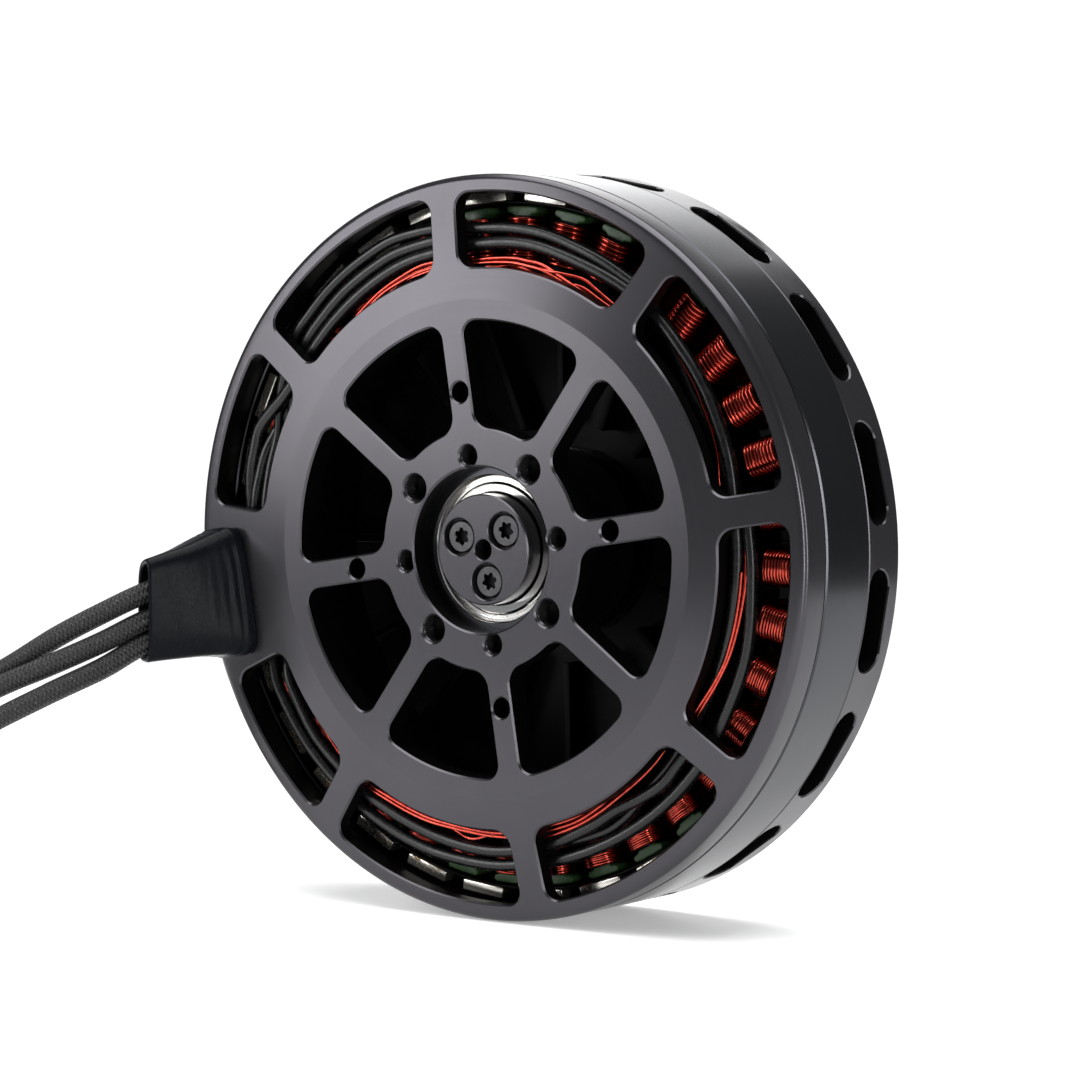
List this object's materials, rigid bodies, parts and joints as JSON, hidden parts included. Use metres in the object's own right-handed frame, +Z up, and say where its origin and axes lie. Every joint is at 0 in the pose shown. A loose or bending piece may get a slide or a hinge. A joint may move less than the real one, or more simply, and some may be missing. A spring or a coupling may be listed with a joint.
{
  "type": "brushless outrunner motor",
  "caption": "Flat brushless outrunner motor: spoked fixed base with windows over the wound stator, slotted bell that spins round it, and sleeved leads from a side boot.",
  "frame": {"origin": "centre of the flat mounting face of the base, on the motor's axis", "axes": "+Y along the motor's axis from the mounting face to the bell's back, +Z up with the motor standing on its rim, the leads leaving towards -X"},
  "size_m": [0.2778, 0.1044, 0.166],
  "materials": {
    "anodised_grey": "satin dark grey anodised, turned and milled",
    "black_steel": "dark ground steel with a gloss",
    "bearing_steel": "polished bearing steel",
    "black_oxide": "black oxide",
    "nickel_plate": "bright nickel plate on magnets",
    "green_epoxy": "green epoxy over stacked laminations",
    "copper_enamel": "red enamelled copper wire",
    "black_rubber": "glossy shrunk sleeve",
    "black_braid": "braided sleeve",
    "gold_plate": "gold plated"
  },
  "bodies": {
    "stator_side": {"base_plate": "anodised_grey", "bearing_tube": "anodised_grey", "stator_drum": "anodised_grey", "base_circlip": "black_steel", "stator_segment_1": "green_epoxy", "stator_segment_2": "green_epoxy", "stator_segment_3": "green_epoxy", "stator_segment_4": "green_epoxy", "stator_segment_5": "green_epoxy", "stator_segment_6": "green_epoxy", "coil_pair_01": "copper_enamel", "coil_pair_02": "copper_enamel", "coil_pair_03": "copper_enamel", "coil_pair_04": "copper_enamel", "coil_pair_05": "copper_enamel", "coil_pair_06": "copper_enamel", "coil_pair_07": "copper_enamel", "coil_pair_08": "copper_enamel", "coil_pair_09": "copper_enamel", "coil_pair_10": "copper_enamel", "coil_pair_11": "copper_enamel", "coil_pair_12": "copper_enamel", "coil_pair_13": "copper_enamel", "coil_pair_14": "copper_enamel", "coil_pair_15": "copper_enamel", "coil_pair_16": "copper_enamel", "coil_pair_17": "copper_enamel", "coil_pair_18": "copper_enamel", "phase_wire_a": "black_rubber", "phase_wire_b": "black_rubber", "phase_wire_c": "black_rubber", "front_bearing_outer_race": "bearing_steel", "front_bearing_shield": "bearing_steel", "rear_bearing_outer_race": "bearing_steel", "rear_bearing_shield": "bearing_steel", "cable_boot": "black_rubber", "lead_a": "black_braid", "lead_b": "black_braid", "lead_c": "black_braid", "connector_a": "gold_plate", "connector_b": "gold_plate", "connector_c": "gold_plate"},
    "rotor": {"rotor_bell": "anodised_grey", "bell_ring": "anodised_grey", "flux_ring": "black_steel", "magnet_ring": "nickel_plate", "shaft": "black_steel", "race_spacer": "black_steel", "shaft_cap": "anodised_grey", "cap_screw_1": "black_oxide", "cap_screw_2": "black_oxide", "cap_screw_3": "black_oxide", "hub_screw_1": "black_oxide", "hub_screw_2": "black_oxide", "hub_screw_3": "black_oxide", "hub_screw_4": "black_oxide", "front_bearing_inner_race": "bearing_steel", "rear_bearing_inner_race": "bearing_steel"},
    "front_cage": {"front_bearing_balls": "bearing_steel"},
    "rear_cage": {"rear_bearing_balls": "bearing_steel"}
  },
  "joints": [
    {"name": "rotor_spin", "type": "hinge", "parent": "stator_side", "child": "rotor", "pos_m": [0, 0, 0], "axis": [0, 1, 0], "continuous": true},
    {"name": "front_cage_spin", "type": "hinge", "parent": "stator_side", "child": "front_cage", "pos_m": [0, 0.0098, 0], "axis": [0, 1, 0], "continuous": true},
    {"name": "rear_cage_spin", "type": "hinge", "parent": "stator_side", "child": "rear_cage", "pos_m": [0, 0.0255, 0], "axis": [0, 1, 0], "continuous": true}
  ],
  "couplings": [
    {"joint": "front_cage_spin", "follows": "rotor_spin", "ratio": 0.4547},
    {"joint": "rear_cage_spin", "follows": "rotor_spin", "ratio": 0.4547}
  ]
}
